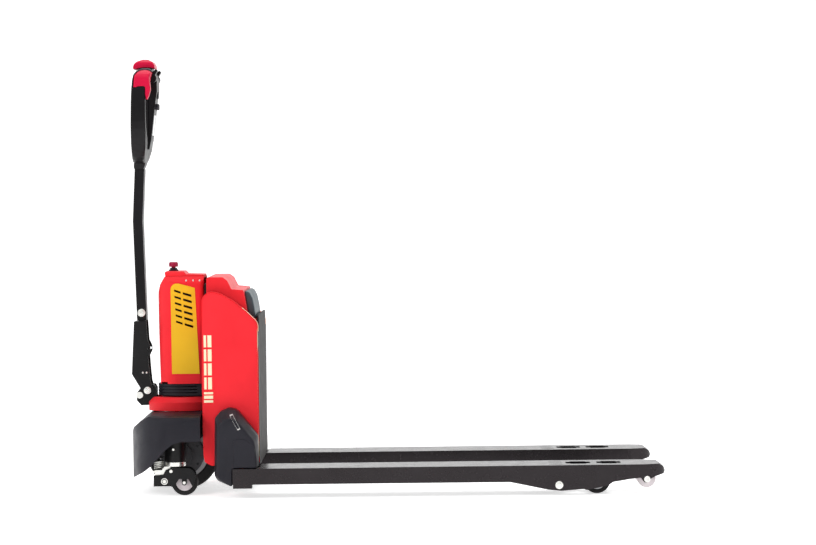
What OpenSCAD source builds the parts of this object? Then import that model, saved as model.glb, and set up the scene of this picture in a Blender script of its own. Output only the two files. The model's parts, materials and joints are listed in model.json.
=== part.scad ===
// Electric pallet truck, lowered, with its tiller upright. Millimetres.
// Origin: floor level, middle of the length, centre plane. +X points to the fork tips, +Z up.

/* [Overall] */
// Length over the tiller's base and the fork tips
overall_l = 1530; // [1515:1:1540]
// Width over the outside of the two forks
forks_w = 685; // [680:1:690]
// Fork length from the load face to the tips
fork_l = 1150; // [1140:1:1160]
// How far the forks rise
lift_h = 110; // [100:1:110]

/* [Forks] */
// Width of one fork
fork_w = 160; // [156:1:164]
// Height of the lowered fork deck above the floor
deck_z = 85; // [84:1:86]
// Thickness of the fork plates
fork_t = 5; // [4:0.5:5]
// Diameter of a load wheel
load_wheel_d = 76; // [74:1:76]
// Diameter of an entry roller
entry_roller_d = 52; // [48:1:52]

/* [Drive] */
// Diameter of the drive wheel
drive_d = 210; // [206:1:210]
// Width of the drive wheel
drive_w = 70; // [64:1:72]
// Diameter of a caster wheel
caster_d = 75; // [74:1:76]
// Distance of each caster from the centre plane
caster_y = 205; // [203:1:206]

/* [Tiller] */
// Distance of the tiller pivot in front of the steering axis
pivot_reach = 102; // [101:0.5:103]
// Height of the tiller pivot
pivot_z = 290; // [289:1:291]
// Half the width over the tiller head's grips
head_half_w = 150; // [145:1:155]

/* [Hidden] */
$fn = 48;

black = [0.10, 0.10, 0.11];
charcoal = [0.22, 0.22, 0.24];
red = [0.86, 0.09, 0.11];
yellow = [0.93, 0.72, 0.10];
zinc = [0.80, 0.80, 0.78];
cast = [0.45, 0.46, 0.48];
nylon = [0.86, 0.80, 0.82];

gap = 0.3;                         // clearance between faces that slide past each other
tip_x = overall_l / 2;             // fork tips
face_x = tip_x - fork_l;           // load face of the lift frame
axis_x = 147 - overall_l / 2;      // steering axis, 147 behind the front of the tiller's base
fork_y = (forks_w - fork_w) / 2;   // centre of the right-hand fork (+Y); the left-hand one mirrors it
half_f = fork_w / 2;

drive_r = drive_d / 2;
caster_r = caster_d / 2;
load_r = load_wheel_d / 2;

// Lift linkage: yokes and rocker turn through link_a while the frame rises lift_h
link_a = 72;
yoke_x = tip_x - 302;
yoke_z = 29;
lug_r = 36;
lug_back = lug_r * sin(link_a / 2);
lug_up = lug_r * cos(link_a / 2);
load_x = tip_x - 193;
rocker_x = face_x - 20;
rod_z = yoke_z + lug_up;
rocker_z = rod_z + lug_up;
rocker_arm = lift_h / 2 / sin(link_a / 2);
shaft_r = 12;
link_pin_r = 6;
slot_r = 7.5;
entry_x = tip_x - 54;
entry_z = 43;

// Lift cylinder on the centre plane, behind the drive wheel
ram_x = face_x - 65;
ram_r = 22;

// ---------- helpers ----------
module box(x, y, z) translate([x[0], y[0], z[0]]) cube([x[1] - x[0], y[1] - y[0], z[1] - z[0]]);
// Outline in X and Z, extruded from y[0] to y[1]
module slab(y, points) translate([0, y[1], 0]) rotate([90, 0, 0]) linear_extrude(y[1] - y[0]) polygon(points);
// Outline in Y and Z, extruded from x[0] to x[1]
module cross_slab(x, points)
    translate([x[0], 0, 0]) rotate([90, 0, 90]) linear_extrude(x[1] - x[0]) polygon(points);
// Round bar along Y
module bar(x, z, r, y) translate([x, y[1], z]) rotate([90, 0, 0]) cylinder(r = r, h = y[1] - y[0]);
module tube_z(r_out, r_in, z) translate([0, 0, z[0]]) difference() {
    cylinder(r = r_out, h = z[1] - z[0]);
    translate([0, 0, -1]) cylinder(r = r_in, h = z[1] - z[0] + 2);
}
module both_sides() { children(); mirror([0, 1, 0]) children(); }
module at_axis() translate([axis_x, 0, 0]) children();
module at_fork(side) translate([0, side * fork_y, 0]) children();
// Points of an arc about c
function arc(c, r, a0, a1, n = 8) = [for (i = [0:n]) let (a = a0 + (a1 - a0) * i / n) c + r * [cos(a), sin(a)]];

// ---------- chassis ----------
module chassis_bridge() color(black) difference() {
    union() {
        at_axis() {
            box([-60, 152], [-140, 140], [221, 228]);
            both_sides() {
                box([-60, 62], [132, 140], [160, 221]);
                box([-60, 62], [132, 262], [160, 168]);
            }
            box([110, 116], [-80, 80], [228, 306]);
            box([70, 110], [-80, 80], [300, 306]);
            box([70, 76], [-80, 80], [306, 600]);
            both_sides() {
                slab([62, 68], [[116, 228], [150, 228], [116, 300]]);
                slab([62, 68], [[76, 306], [110, 306], [76, 345]]);
            }
        }
        both_sides() box([axis_x + 98, axis_x + 152], [93, 105], [122, 221]);
        box([axis_x + 117, axis_x + 125], [-60, 60], [150, 221]);
        box([axis_x + 117, ram_x + 24], [-32, 32], [150, 160]);
    }
    at_axis() translate([0, 0, 200]) cylinder(r = 57, h = 40);
    box([ram_x - 28, axis_x + 153], [-27, 27], [200, 240]);
    both_sides() {
        translate([axis_x - 10, caster_y, 150]) cylinder(r = 10.2, h = 30);
        bar(rocker_x - rocker_arm - 0.6, rod_z + lug_up + lift_h / 2, 9.9, [90, 110]);
        bar(rocker_x - rocker_arm * cos(link_a / 2) + 0.6, rod_z + lug_up + lift_h / 2, 9.9, [90, 110]);
        box([rocker_x - rocker_arm, rocker_x - rocker_arm * cos(link_a / 2)], [90, 110],
            [rocker_z + lift_h / 2 - 9.9, rocker_z + lift_h / 2 + 9.9]);
    }
}

module slewing_ring_outer() color(zinc) at_axis() {
    difference() {
        union() {
            translate([0, 0, 221]) cylinder(r = 56.9, h = 10);
            translate([0, 0, 228]) cylinder(r = 68, h = 3);
        }
        translate([0, 0, 210]) cylinder(r = 47, h = 30);
    }
}

// Front half of the bumper's outline in plan: a superellipse that runs into straight sides
function bumper_plan(w, l, rear, n = 28) = concat(
    [for (i = [-n:n]) let (a = 90 * i / n, c = pow(abs(cos(a)), 2 / 2.6), s = pow(abs(sin(a)), 2 / 2.6))
        [-24 - l * c, w * s * sign(a == 0 ? 1 : a)]],
    [[rear, w], [rear, -w]]);

module bumper_body(w, l, top, rear, inset) intersection() {
    translate([0, 0, 30]) linear_extrude(210) polygon(bumper_plan(w, l, rear));
    slab([-300, 300], [[-140 + inset, 20], [-144 + inset, 90], [-144 + inset, 172], [-132 + inset, 193],
        [-108 + inset, 214], [-83 + inset, top - 3], [-61, top], [rear, top], [rear, 20]]);
    cross_slab([-200, 200], [[-w, 0], [-w, top - 22], [-w + 8, top - 6], [-w + 24, top],
        [w - 24, top], [w - 8, top - 6], [w, top - 22], [w, 0]]);
}

module bumper_skirt() color(charcoal) at_axis() difference() {
    bumper_body(280, 120, 232, 66, 0);
    bumper_body(276, 116, 228, 67, 4);
    slab([-300, 300], [[-160, 0], [-160, 56], [-145, 54], [-136, 46], [-120, 57], [-99, 70], [-74.5, 89],
        [-56, 110], [-36, 132], [-14, 150], [9, 158], [70, 158], [70, 0]]);
    translate([0, 0, 215]) cylinder(r = 104, h = 30);
}

function cover_plan(f, w, r) = concat(
    arc([-f + 56, -w + 56], 56, 180, 270, 10), arc([f_rear - 20, -w + 20], 20, 270, r, 5),
    arc([f_rear - 20, w - 20], 20, 360 - r, 90, 5), arc([-f + 56, w - 56], 56, 90, 180, 10));
f_rear = 70;

module cover_body(inset) intersection() {
    translate([0, 0, 300]) linear_extrude(340) polygon(cover_plan(67 - inset, 86 - inset, 340));
    slab([-90, 90], [[-61 + inset, 300], [-67 + inset, 550], [-65.5 + inset, 578], [-59 + inset, 600],
        [-45 + inset, 622 - inset], [f_rear, 622 - inset], [f_rear, 300]]);
    cross_slab([-90, 90], [[-86 + inset, 300], [-86 + inset, 586], [-82 + inset, 606],
        [-68 + inset, 622 - inset], [68 - inset, 622 - inset], [82 - inset, 606], [86 - inset, 586],
        [86 - inset, 300]]);
}

panel_shape = concat([[-26, 340], [54, 340], [43, 589], [-4, 602]], arc([-10, 585], 17, 80, 180, 6));

// The six slanted double slots of one louvre panel
module louvre_slots(y) for (i = [0:5]) translate([i * 0.9, 0, 582 - 18 * i]) {
    slab(y, [[-17, -3], [2, -9.5], [2, -3.5], [-17, 3]]);
    slab(y, [[8, -11.5], [33, -19.5], [33, -12.5], [8, -5]]);
}

module front_cover() color(red) at_axis() difference() {
    cover_body(0);
    difference() {
        cover_body(3.5);
        box([-100, 100], [-100, 100], [280, 311]);
    }
    box([-100, 100], [-100, 100], [280, 311]);
    box([-58, 70.5], [-78, 78], [305, 316]);
    box([40, 72], [-60, 60], [305, 600]);
    both_sides() slab([84.5, 90], panel_shape);
    louvre_slots([-95, 95]);
    translate([-24, 0, 600]) cylinder(r = 10.2, h = 60);
}

module louvre_panels() color(yellow) at_axis() both_sides() difference() {
    slab([84.6, 87.2], panel_shape);
    louvre_slots([80, 95]);
}

module cover_lid() color(red) at_axis() difference() {
    intersection() {
        slab([-64, 64], [[-44, 622], [-46, 634], [-42, 637], [10, 637], [16, 629], [68, 627], [68, 622]]);
        cross_slab([-60, 70], [[-64, 622], [-60, 632], [-54, 637], [54, 637], [60, 632], [64, 622]]);
    }
    translate([-24, 0, 600]) cylinder(r = 10.2, h = 60);
}

module collar_band() color(black) at_axis() difference() {
    union() {
        translate([0, 0, 275]) cylinder(r = 72, h = 35);
        box([0, 70], [-72, 72], [275, 310]);
    }
    translate([0, 0, 270]) cylinder(r = 67, h = 50);
    box([0, 80], [-67, 67], [270, 320]);
    for (z = [283, 292, 301]) translate([0, 0, z]) tube_z(85, 71, [0, 2]);
}

module pump_motor() color(cast) at_axis() {
    translate([0, 0, 330]) cylinder(r = 42, h = 120);
    translate([0, 0, 450]) cylinder(r = 48, h = 14);
    box([-24, 24], [-24, 24], [464, 484]);
    box([44, 70], [-20, 20], [452, 462]);
}

module oil_tank() color(charcoal) at_axis() {
    box([-40, 50], [-62, 62], [484, 590]);
    translate([30, 40, 590]) cylinder(r = 14, h = 12);
}

module controller() color(charcoal) at_axis() {
    box([55, 70], [-50, 50], [335, 446]);
    for (y = [-44:11:44]) box([49, 55], [y - 1.5, y + 1.5], [340, 440]);
}

module lift_barrel() color(black) translate([ram_x, 0, 0]) difference() {
    union() {
        translate([0, 0, 160]) cylinder(r = ram_r, h = 264);
        translate([0, 0, 408]) cylinder(r = 25, h = 16);
    }
    translate([0, 0, 172]) cylinder(r = 19, h = 240);
    translate([0, 0, 400]) cylinder(r = 12.1, h = 40);
}

module lift_rod() color(zinc) translate([ram_x, 0, 0]) {
    translate([0, 0, 275]) cylinder(r = 18.8, h = 15);
    translate([0, 0, 290]) cylinder(r = 12, h = 140);
}

module estop_base() color(black) at_axis() translate([-24, 0, 0]) difference() {
    union() {
        translate([0, 0, 612]) cylinder(r = 10, h = 25);
        translate([0, 0, 637]) cylinder(r = 14, h = 4);
        translate([0, 0, 641]) cylinder(r = 10.5, h = 4.6);
    }
    translate([0, 0, 618]) cylinder(r = 6.3, h = 40);
}

module estop_button() color([0.62, 0.05, 0.16]) at_axis() translate([-24, 0, 0]) {
    translate([0, 0, 628]) cylinder(r = 6, h = 21);
    translate([0, 0, 649]) cylinder(r = 13.5, h = 10);
    translate([0, 0, 659]) cylinder(r1 = 13.5, r2 = 11, h = 4);
}

module caster_posts() color(black) both_sides() translate([axis_x - 10, caster_y, 0]) difference() {
    union() {
        translate([0, 0, 96]) cylinder(r = 31, h = 64);
        translate([0, 0, 152]) cylinder(r = 40, h = 8);
    }
    translate([0, 0, 90]) cylinder(r = 10.2, h = 80);
}

// ---------- steering ----------
module slewing_ring_inner() color(zinc) at_axis() tube_z(46.6, 30, [219, 233]);

ear = [[-82, 306], [-77, 296], [-77, 262], [-98, 247], [-121, 246.5], [-134, 261], [-133, 284], [-120, 300],
    [-104, 309]];

module steer_head() color(black) at_axis() {
    difference() {
        union() {
            translate([0, 0, 233]) cylinder(r = 70, h = 10);
            translate([0, 0, 243]) cylinder(r = 40, h = 25.5);
            box([-76, -20], [-32, 32], [243, 262]);
            box([-59, -20], [-32, 32], [262, 268.5]);
            both_sides() slab([22, 32], ear);
            box([-98, -70], [-23, 23], [248, 262]);
        }
        bar(-pivot_reach, pivot_z, 8.1, [-50, 50]);
        bar(-125, 276, 6, [-50, 50]);
    }
}

module turret_cover() color(red) at_axis() difference() {
    rotate_extrude($fn = 96) polygon([[0, 272], [92, 272], [106, 258], [106, 232.8], [102.5, 232.8],
        [102.5, 256.6], [90.6, 268.5], [0, 268.5]]);
    box([-120, -60], [-40, 40], [230, 280]);
}

module stop_roller() color(zinc) at_axis() {
    bar(-125, 276, 6, [-32, 32]);
    both_sides() bar(-125, 276, 10, [32, 33.6]);
    bar(-125, 276, 10, [-20, 20]);
}

module drive_fork() color(black) at_axis() difference() {
    union() {
        translate([0, 0, 212]) cylinder(r = 58, h = 7);
        both_sides() slab([42, 50], [[-42, 213], [-36, 90], [-22, 66], [22, 66], [36, 90], [42, 213]]);
        bar(0, drive_r, 12, [-49, 49]);
        translate([0, 0, 219]) cylinder(r = 29.5, h = 13.8);
    }
}

module drive_gearbox() color(cast) at_axis() difference() {
    union() {
        bar(0, drive_r, 62, [-86, -50.2]);
        box([-34, 34], [-84, -50.2], [120, 196]);
        bar(0, drive_r, 30, [-94, -86]);
    }
    for (a = [30:60:330]) bar(52 * cos(a), drive_r + 52 * sin(a), 3.2, [-87, -80]);
}

module drive_motor() color(cast) at_axis() {
    bar(0, drive_r, 46, [50.2, 96]);
    for (y = [54:6:90]) bar(0, drive_r, 50, [y, y + 2.5]);
    bar(0, drive_r, 38, [96, 100]);
}

module drive_hub() color(zinc) at_axis() difference() {
    bar(0, drive_r, 74, [-drive_w / 2 + 3, drive_w / 2 - 3]);
    bar(0, drive_r, 12.1, [-50, 50]);
    both_sides() difference() {
        bar(0, drive_r, 60, [drive_w / 2 - 14, 50]);
        bar(0, drive_r, 26, [0, 60]);
    }
}

module drive_tyre() color(black) at_axis() translate([0, 0, drive_r]) rotate([90, 0, 0])
    rotate_extrude($fn = 96) polygon([[74, -drive_w / 2], [drive_r - 5, -drive_w / 2],
        [drive_r, -drive_w / 2 + 6], [drive_r, drive_w / 2 - 6], [drive_r - 5, drive_w / 2],
        [74, drive_w / 2]]);

// ---------- casters ----------
swivel_x = axis_x - 10;
arm_pivot = [-30.5, 42];
caster_trail = 26;

module at_caster(side) translate([swivel_x, side * caster_y, 0]) children();

module caster_yoke(side) color(zinc) at_caster(side) difference() {
    union() {
        translate([0, 0, 84]) cylinder(r = 30, h = 11.5);
        translate([0, 0, 95.5]) cylinder(r = 10, h = 60);
        both_sides() slab([19, 24], [[-30, 84], [-38, 74], [-58, 74], [-58, 56], [-46, 52], [-46, 36], [-38, 30],
            [-23, 30], [-16, 38], [-14, 84]]);
        difference() {
            box([-64, -30], [-19, 19], [66, 72]);
            translate([-48, 0, 60]) cylinder(r = 7, h = 20);
        }
        for (i = [0:4]) translate([-48, 0, 75.4 + 6.6 * i]) rotate_extrude() translate([12.2, 0]) circle(r = 2.9);
        translate([-48, 0, 72]) tube_z(14, 7.5, [0, 1.2]);
        translate([-48, 0, 72]) tube_z(9.9, 9, [0, 32]);
    }
    bar(arm_pivot[0], arm_pivot[1], 7.1, [-30, 30]);
}

arm_shape = [[-61.5, 27.5], [-61.5, 59], [-34, 61], [-27, 74], [-10, 81], [42, 78.8], [54, 69], [59, 52],
    [52, 28], [48, 28], [38, 48], [33, 48], [32.5, 33], [28, 29.8], [24, 29.8], [19.5, 33], [19, 48], [12, 48],
    [-3, 28]];

module caster_arm(side) color(black) at_caster(side) {
    both_sides() slab([25, 29], arm_shape);
    box([-61.5, -47.5], [-26, 26], [30, 40]);
    bar(arm_pivot[0], arm_pivot[1], 7, [-33, 33]);
    bar(caster_trail, caster_r, 7, [-32, 32]);
    both_sides() {
        bar(arm_pivot[0], arm_pivot[1], 9.3, [29, 31.5]);
        bar(-11.5, 71, 5, [29, 32]);
    }
    translate([-48, 0, 34]) cylinder(r = 3.5, h = 78);
    translate([-48, 0, 107.5]) cylinder(r = 13, h = 3);
    translate([-48, 0, 110.5]) cylinder(r = 7, h = 4, $fn = 6);
}

module caster_wheel(side) color(charcoal) at_caster(side) translate([caster_trail, 0, caster_r])
    rotate([90, 0, 0]) rotate_extrude() polygon([[7.2, -17], [24, -17], [24, -14], [caster_r - 2, -15],
        [caster_r, -12], [caster_r, 12], [caster_r - 2, 15], [24, 14], [24, 17], [7.2, 17]]);

// ---------- tiller ----------
base_shape = concat([[-139, 491], [-147, 338], [-122, 296]], arc([-pivot_reach, pivot_z], 17, 160, 375, 10),
    [[-93, 315], [-95.5, 341], [-99, 390], [-92, 404], [-92, 418], [-100, 436], [-103.5, 494]]);

module tiller_base() color(black) at_axis() difference() {
    union() {
        both_sides() slab([34, 38], base_shape);
        slab([-34, 34], [[-139, 491], [-147, 338], [-142.8, 338], [-134.8, 491]]);
        slab([-34, 34], [[-136, 480], [-108, 480], [-108, 492], [-135, 492]]);
        box([-127, -107.5], [-22.5, 22.5], [400, 530]);
        both_sides() box([-125, -109], [22, 34.5], [404, 440]);
    }
    bar(-pivot_reach, pivot_z, 8.1, [-50, 50]);
    bar(-97, 411, 3.5, [-50, 50]);
    bar(-117.5, 516, 5, [-50, 50]);
}

tube_mid = [[-114, 400], [-125, 785], [-117.7, 935]];
module tiller_tube() color(black) at_axis() difference() {
    tube_run(14, 26);
    tube_run(11, 23);
    box([-140, -90], [-35, 35], [380, 494]);
    bar(-117.5, 516, 5, [-50, 50]);
}
module tube_run(w, y) slab([-y, y], concat([for (p = tube_mid) p + [-w, 0]],
    [for (i = [2:-1:0]) tube_mid[i] + [w, 0]]));

module tiller_bolts() color(zinc) at_axis() {
    bar(-pivot_reach, pivot_z, 8, [-38, 38]);
    bar(-117.5, 516, 5, [-26, 26]);
    both_sides() {
        bar(-pivot_reach, pivot_z, 10.5, [38, 41]);
        bar(-pivot_reach, pivot_z, 7, [41, 44]);
        bar(-117.5, 516, 11.5, [26, 28]);
        bar(-117.5, 516, 7.5, [28, 32]);
        for (x = [-115, -104]) bar(x, 342, 2.2, [38, 39.2]);
    }
}

// Head: outline of the grip loop in Y and Z, and its two hand openings
head_outer = concat([[-30, 935], [-34, 952]], [for (i = [0:8]) let (t = i / 8)
    [-34 - (head_half_w - 34) * sin(90 * t), 952 + 120 * (1 - cos(90 * t))]],
    [[-head_half_w, 1150]], arc([-head_half_w + 52, 1174], 52, 180, 100, 6));
hand_gap = concat([[-48, 1188], [-50, 1040]], [for (i = [0:6]) let (t = i / 6)
    [-56 - (head_half_w - 84) * sin(90 * t), 1026 + 56 * (1 - cos(90 * t))]], [[-head_half_w + 28, 1150]],
    arc([-head_half_w + 50, 1166], 22, 180, 90, 4));
function mirrored(p) = [for (i = [len(p) - 1:-1:0]) [-p[i][0], p[i][1]]];

// Side outline of the loop, and of the wings that widen its upper corners
loop_side = [[-134, 935], [-134, 948], [-132.4, 990], [-131.1, 1075], [-129, 1150], [-125.5, 1190], [-122.5, 1206],
    [-116, 1216], [-106, 1223], [-96, 1226], [-88, 1226], [-88, 1080], [-88, 1040], [-89.5, 1010], [-91.5, 991],
    [-95, 974], [-100.5, 946], [-106, 935]];
wing_side = [[-90, 1226], [-79, 1225.5], [-72, 1220], [-70.5, 1214.5], [-76.5, 1196], [-74, 1180], [-72, 1164],
    [-76, 1148], [-82.5, 1133], [-85.5, 1133], [-87.8, 1150], [-87.8, 1172.6], [-90, 1172.6]];
// What of the head is the red bow
bow_side = [[-122.3, 1168], [-119.5, 1203], [-113, 1212], [-104, 1218], [-92, 1220], [-80, 1219], [-73, 1214.5],
    [-60, 1205], [-60, 1130], [-88, 1130], [-88, 1172.5], [-102, 1172.5]];

module head_body() difference() {
    intersection() {
        cross_slab([-160, -60], concat(head_outer, mirrored(head_outer)));
        union() {
            slab([-200, 200], loop_side);
            both_sides() slab([84, 200], wing_side);
        }
    }
    cross_slab([-170, -50], hand_gap);
    cross_slab([-170, -50], mirrored(hand_gap));
    box([-113, -93], [-31, 31], [1203.5, 1240]);
}

module head_loop() color(black) at_axis() {
    difference() {
        head_body();
        slab([-200, 200], bow_side);
        slab([-23, 23], [[-200, 900], [0, 900], [0, 936], [-200, 936]]);
    }
    difference() {
        box([-116, -88], [-37, 37], [1222, 1233.5]);
        box([-112.5, -93.5], [-30.5, 30.5], [1200, 1240]);
    }
}

module head_bow() color(red) at_axis() intersection() {
    head_body();
    slab([-200, 200], bow_side);
}

pod_shape = [[-91.1, 992], [-89.1, 1010], [-87.6, 1040], [-87.6, 1221], [-80, 1221], [-68, 1214], [-62, 1196],
    [-62, 1160], [-66, 1137], [-73.3, 1078], [-80.3, 1020], [-86.3, 992]];
button_z = 1116;
horn_z = 1150;

module head_pod() color(black) at_axis() difference() {
    union() {
        slab([-45, 45], pod_shape);
        box([-87.6, -76], [-37, 37], [1215, 1233]);
    }
    bar(-73, 1197, 6.08, [-50, 50]);
    for (y = [-20, 20]) translate([-84, y, button_z]) rotate([0, 90, 0]) cylinder(r = 9.3, h = 30);
    translate([-84, 0, horn_z]) rotate([0, 90, 0]) cylinder(r = 11.3, h = 30);
    slab([-30, 30], [[-74.8, 1092], [-81.6, 1032], [-60, 1032], [-60, 1092]]);
}

module display() color([0.16, 0.2, 0.2]) at_axis()
    slab([-29.7, 29.7], [[-74.5, 1091.7], [-81.3, 1032.3], [-78.3, 1032.3], [-71.5, 1091.7]]);

module throttle() color(charcoal) at_axis() {
    bar(-73, 1197, 6, [-52, 52]);
    both_sides() {
        bar(-73, 1197, 12.3, [46, 76]);
        slab([50, 74], [[-79, 1206], [-65, 1206], [-57, 1219], [-62, 1224], [-72, 1216]]);
    }
}

module press_button(y, z, r) color(charcoal) at_axis() translate([-78.5, y, z]) rotate([0, 90, 0]) {
    cylinder(r = r, h = 16.5);
    translate([0, 0, 16.5]) cylinder(r1 = r, r2 = r - 1.5, h = 1.5);
}
module raise_button() press_button(-20, button_z, 9);
module lower_button() press_button(20, button_z, 9);
module horn_button() press_button(0, horn_z, 11);

module belly_button() color(red) at_axis() {
    difference() {
        intersection() {
            slab([-44, 44], [[-130.5, 1224.5], [-131, 1232], [-128.5, 1240], [-121, 1247], [-104, 1253.5],
                [-88, 1253], [-74, 1246], [-68.5, 1236], [-67.5, 1226], [-80, 1229.2], [-92, 1229.8],
                [-104, 1229.6], [-120, 1227.5]]);
            cross_slab([-140, -60], [[-44, 1200], [-44, 1238], [-42, 1245], [-36, 1250.5], [-26, 1253.5],
                [26, 1253.5], [36, 1250.5], [42, 1245], [44, 1238], [44, 1200]]);
        }
        box([-126, -72], [-40.5, 40.5], [1215, 1237]);
    }
    box([-112, -94], [-30, 30], [1208, 1240]);
}

// ---------- lift frame ----------
panel_edge = concat([[-161, 117], [-157, 96], [-138, 85.4], [-1, 86.5], [-1, 470]],
    arc([-33, 480], 32, 0, 55, 5), [[-37, 528], [-74, 557], [-108, 576]],
    arc([-132, 553], 29, 70, 170, 6), [[-163, 331]]);

module frame_weldment() color(black) difference() {
    union() {
        box([face_x - 6, face_x], [-202, 202], [86.5, 512]);
        both_sides() {
            slab([190, 197], [[face_x - 152, 110], [face_x - 140, 85], [face_x - 6, 85], [face_x - 6, 470],
                [face_x - 110, 540], [face_x - 152, 540]]);
            slab([168, 178], [[rocker_x - 18, 70], [face_x - 6, 70], [face_x - 6, 170], [rocker_x - 18, 110]]);
            box([face_x - 40, face_x - 6], [178, 190], [86, 110]);
        }
        box([face_x - 146, face_x - 6], [-190, 190], [430, 440]);
        both_sides() slab([60, 66], [[face_x - 6, 360], [face_x - 60, 430], [face_x - 6, 430]]);
    }
    bar(rocker_x, rocker_z, shaft_r + 0.08, [-200, 200]);
}

module side_panels() color(red) both_sides() translate([face_x, 0, 0]) difference() {
    union() {
        slab([204, 236], panel_edge);
        slab([236, 240], [for (p = panel_edge) [-79, 320] + [(p[0] + 79) * 0.965, (p[1] - 320) * 0.988]]);
    }
    slab([203, 234], [for (p = panel_edge) [-79, 320] + [(p[0] + 79) * 0.95, (p[1] - 320) * 0.982]]);
    bar(rocker_x - face_x, rocker_z, 20, [200, 245]);
}

hump_shape = [[-150, 470], [-150, 618], [-146, 622], [-103, 622], [-90, 612], [-78, 587], [-44, 584],
    [-32, 510], [-26, 495], [-26, 470]];
module hump_cover() color(red) translate([face_x, 0, 0]) difference() {
    slab([-188, 188], hump_shape);
    slab([-184, 184], [[-146, 460], [-146, 613], [-143, 618], [-105, 618], [-93, 609], [-81, 583], [-47.4, 580],
        [-36, 509], [-30, 494], [-30, 460]]);
}

module battery_pack() color(charcoal) translate([face_x, 0, 0]) {
    box([-142, -84], [-172, 172], [440, 566]);
    both_sides() box([-120, -88], [60, 80], [566, 580]);
}

module battery_cap() color([0.30, 0.33, 0.34]) translate([face_x, 0, 0])
    slab([-150, 150], [[-31.5, 510.2], [-42.6, 578.6], [-36, 580], [-28, 576], [-20, 560], [-14, 530], [-11, 504],
        [-18, 496], [-25.4, 495.4]]);

heel_shape = [[-127, 63], [-124, 226], [-108, 244], [-84, 254], [-62, 248], [-42, 223], [-22, 199], [-3, 174],
    [-1, 85.5], [-76, 33], [-118, 48]];
module heel_covers() color(charcoal) both_sides() translate([face_x, 0, 0]) difference() {
    hull() {
        slab([241, 296], heel_shape);
        slab([332, 341], [for (p = heel_shape) [-60, 120] + [(p[0] + 60) * 0.86, (p[1] - 120) * 0.84 - 6]]);
        slab([300, 340], [[-76, 34], [-76, 100], [-4, 100], [-4, 86]]);
    }
    box([-74.2, 10], [200, 360], [0, 85.5]);
    box([-64, -4], [230, 300], [80, 120]);
}

// Side outline of a fork: flat deck, webs that deepen round the load wheel, blunt nose
fork_side = [[face_x - 73, 40], [face_x - 73, deck_z], [tip_x - 18, deck_z], [tip_x - 5, 76], [tip_x, 64],
    [tip_x - 5, 56], [tip_x - 29, 50], [tip_x - 42, 44], [tip_x - 52, 33], [tip_x - 62, 34], [tip_x - 72, 47],
    [tip_x - 108, 43], [tip_x - 150, 36], [tip_x - 165, 26], [tip_x - 224, 14], [tip_x - 233, 17],
    [tip_x - 262, 15], [tip_x - 297, 12.5], [tip_x - 334, 16.5], [tip_x - 385, 27], [tip_x - 441, 39]];
function half_plan(y) = [[face_x - 73, y], [tip_x - 62, y], [tip_x - 28, y - 12], [tip_x - 10, y - 27],
    [tip_x - 2, y - 40], [tip_x, y - 50]];
fork_plan = concat(half_plan(half_f), mirrored_y(half_plan(half_f)));
function mirrored_y(p) = [for (i = [len(p) - 1:-1:0]) [p[i][0], -p[i][1]]];

module deck_slot(x0, x1, w) {
    box([x0 + w / 6, x1 - w / 6], [-w / 2, w / 2], [70, 95]);
    box([x0, x1], [-w / 3, w / 3], [70, 95]);
}

module fork(side) color(black) at_fork(side) {
    difference() {
        intersection() {
            slab([-half_f, half_f], fork_side);
            linear_extrude(100) polygon(fork_plan);
        }
        translate([0, 0, 5]) linear_extrude(deck_z - fork_t - 5) polygon([[face_x - 68, fork_t - half_f],
            [tip_x - 62, fork_t - half_f], [tip_x - 26, 17.3 - half_f], [tip_x - 26, half_f - 17.3],
            [tip_x - 62, half_f - fork_t], [face_x - 68, half_f - fork_t]]);
        deck_slot(tip_x - 280, tip_x - 210, 76);
        deck_slot(tip_x - 192, tip_x - 124, 76);
        for (y = [-48, 0, 48]) box([tip_x - 328, tip_x - 290], [y - 4, y + 4], [70, 95]);
        box([face_x - 74, face_x + 4], [-90, 90], [deck_z - 1, 95]);
        mirror([0, side < 0 ? 1 : 0, 0]) {
            box([rocker_x - 42, face_x - 6.2], [-82, 24], [76, 95]);
            box([rocker_x - 14, rocker_x + 14], [-82, -70], [70, 90]);
        }
        box([rocker_x - 42, rocker_x + 22], [-16, 16], [70, 95]);
        bar(yoke_x, yoke_z, 10, [-100, 100]);
        bar(entry_x, entry_z, 6, [-100, 100]);
    }
    box([face_x - 72, face_x - 18], [side > 0 ? 35 : -80, side > 0 ? 80 : -35], [29, 40]);
    for (x = [face_x + 120, face_x + 420]) box([x, x + 8], [fork_t - half_f, half_f - fork_t], [72, 80]);
}

module fork_bolts() color(zinc) for (side = [-1, 1]) at_fork(side) {
    bar(yoke_x, yoke_z, 10, [-half_f - 0.2, half_f + 0.2]);
    bar(entry_x, entry_z, 6, [-half_f - 0.2, half_f + 0.2]);
    mirror([0, side < 0 ? 1 : 0, 0]) {
        bar(yoke_x, yoke_z, 11, [half_f + 0.2, half_f + 2]);
        translate([yoke_x, half_f + 5, yoke_z]) rotate([90, 0, 0]) cylinder(r = 8.5, h = 3, $fn = 6);
        bar(entry_x, entry_z, 9, [half_f + 0.2, half_f + 2]);
        bar(entry_x, entry_z, 5, [half_f + 2, half_f + 4]);
    }
}

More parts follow.
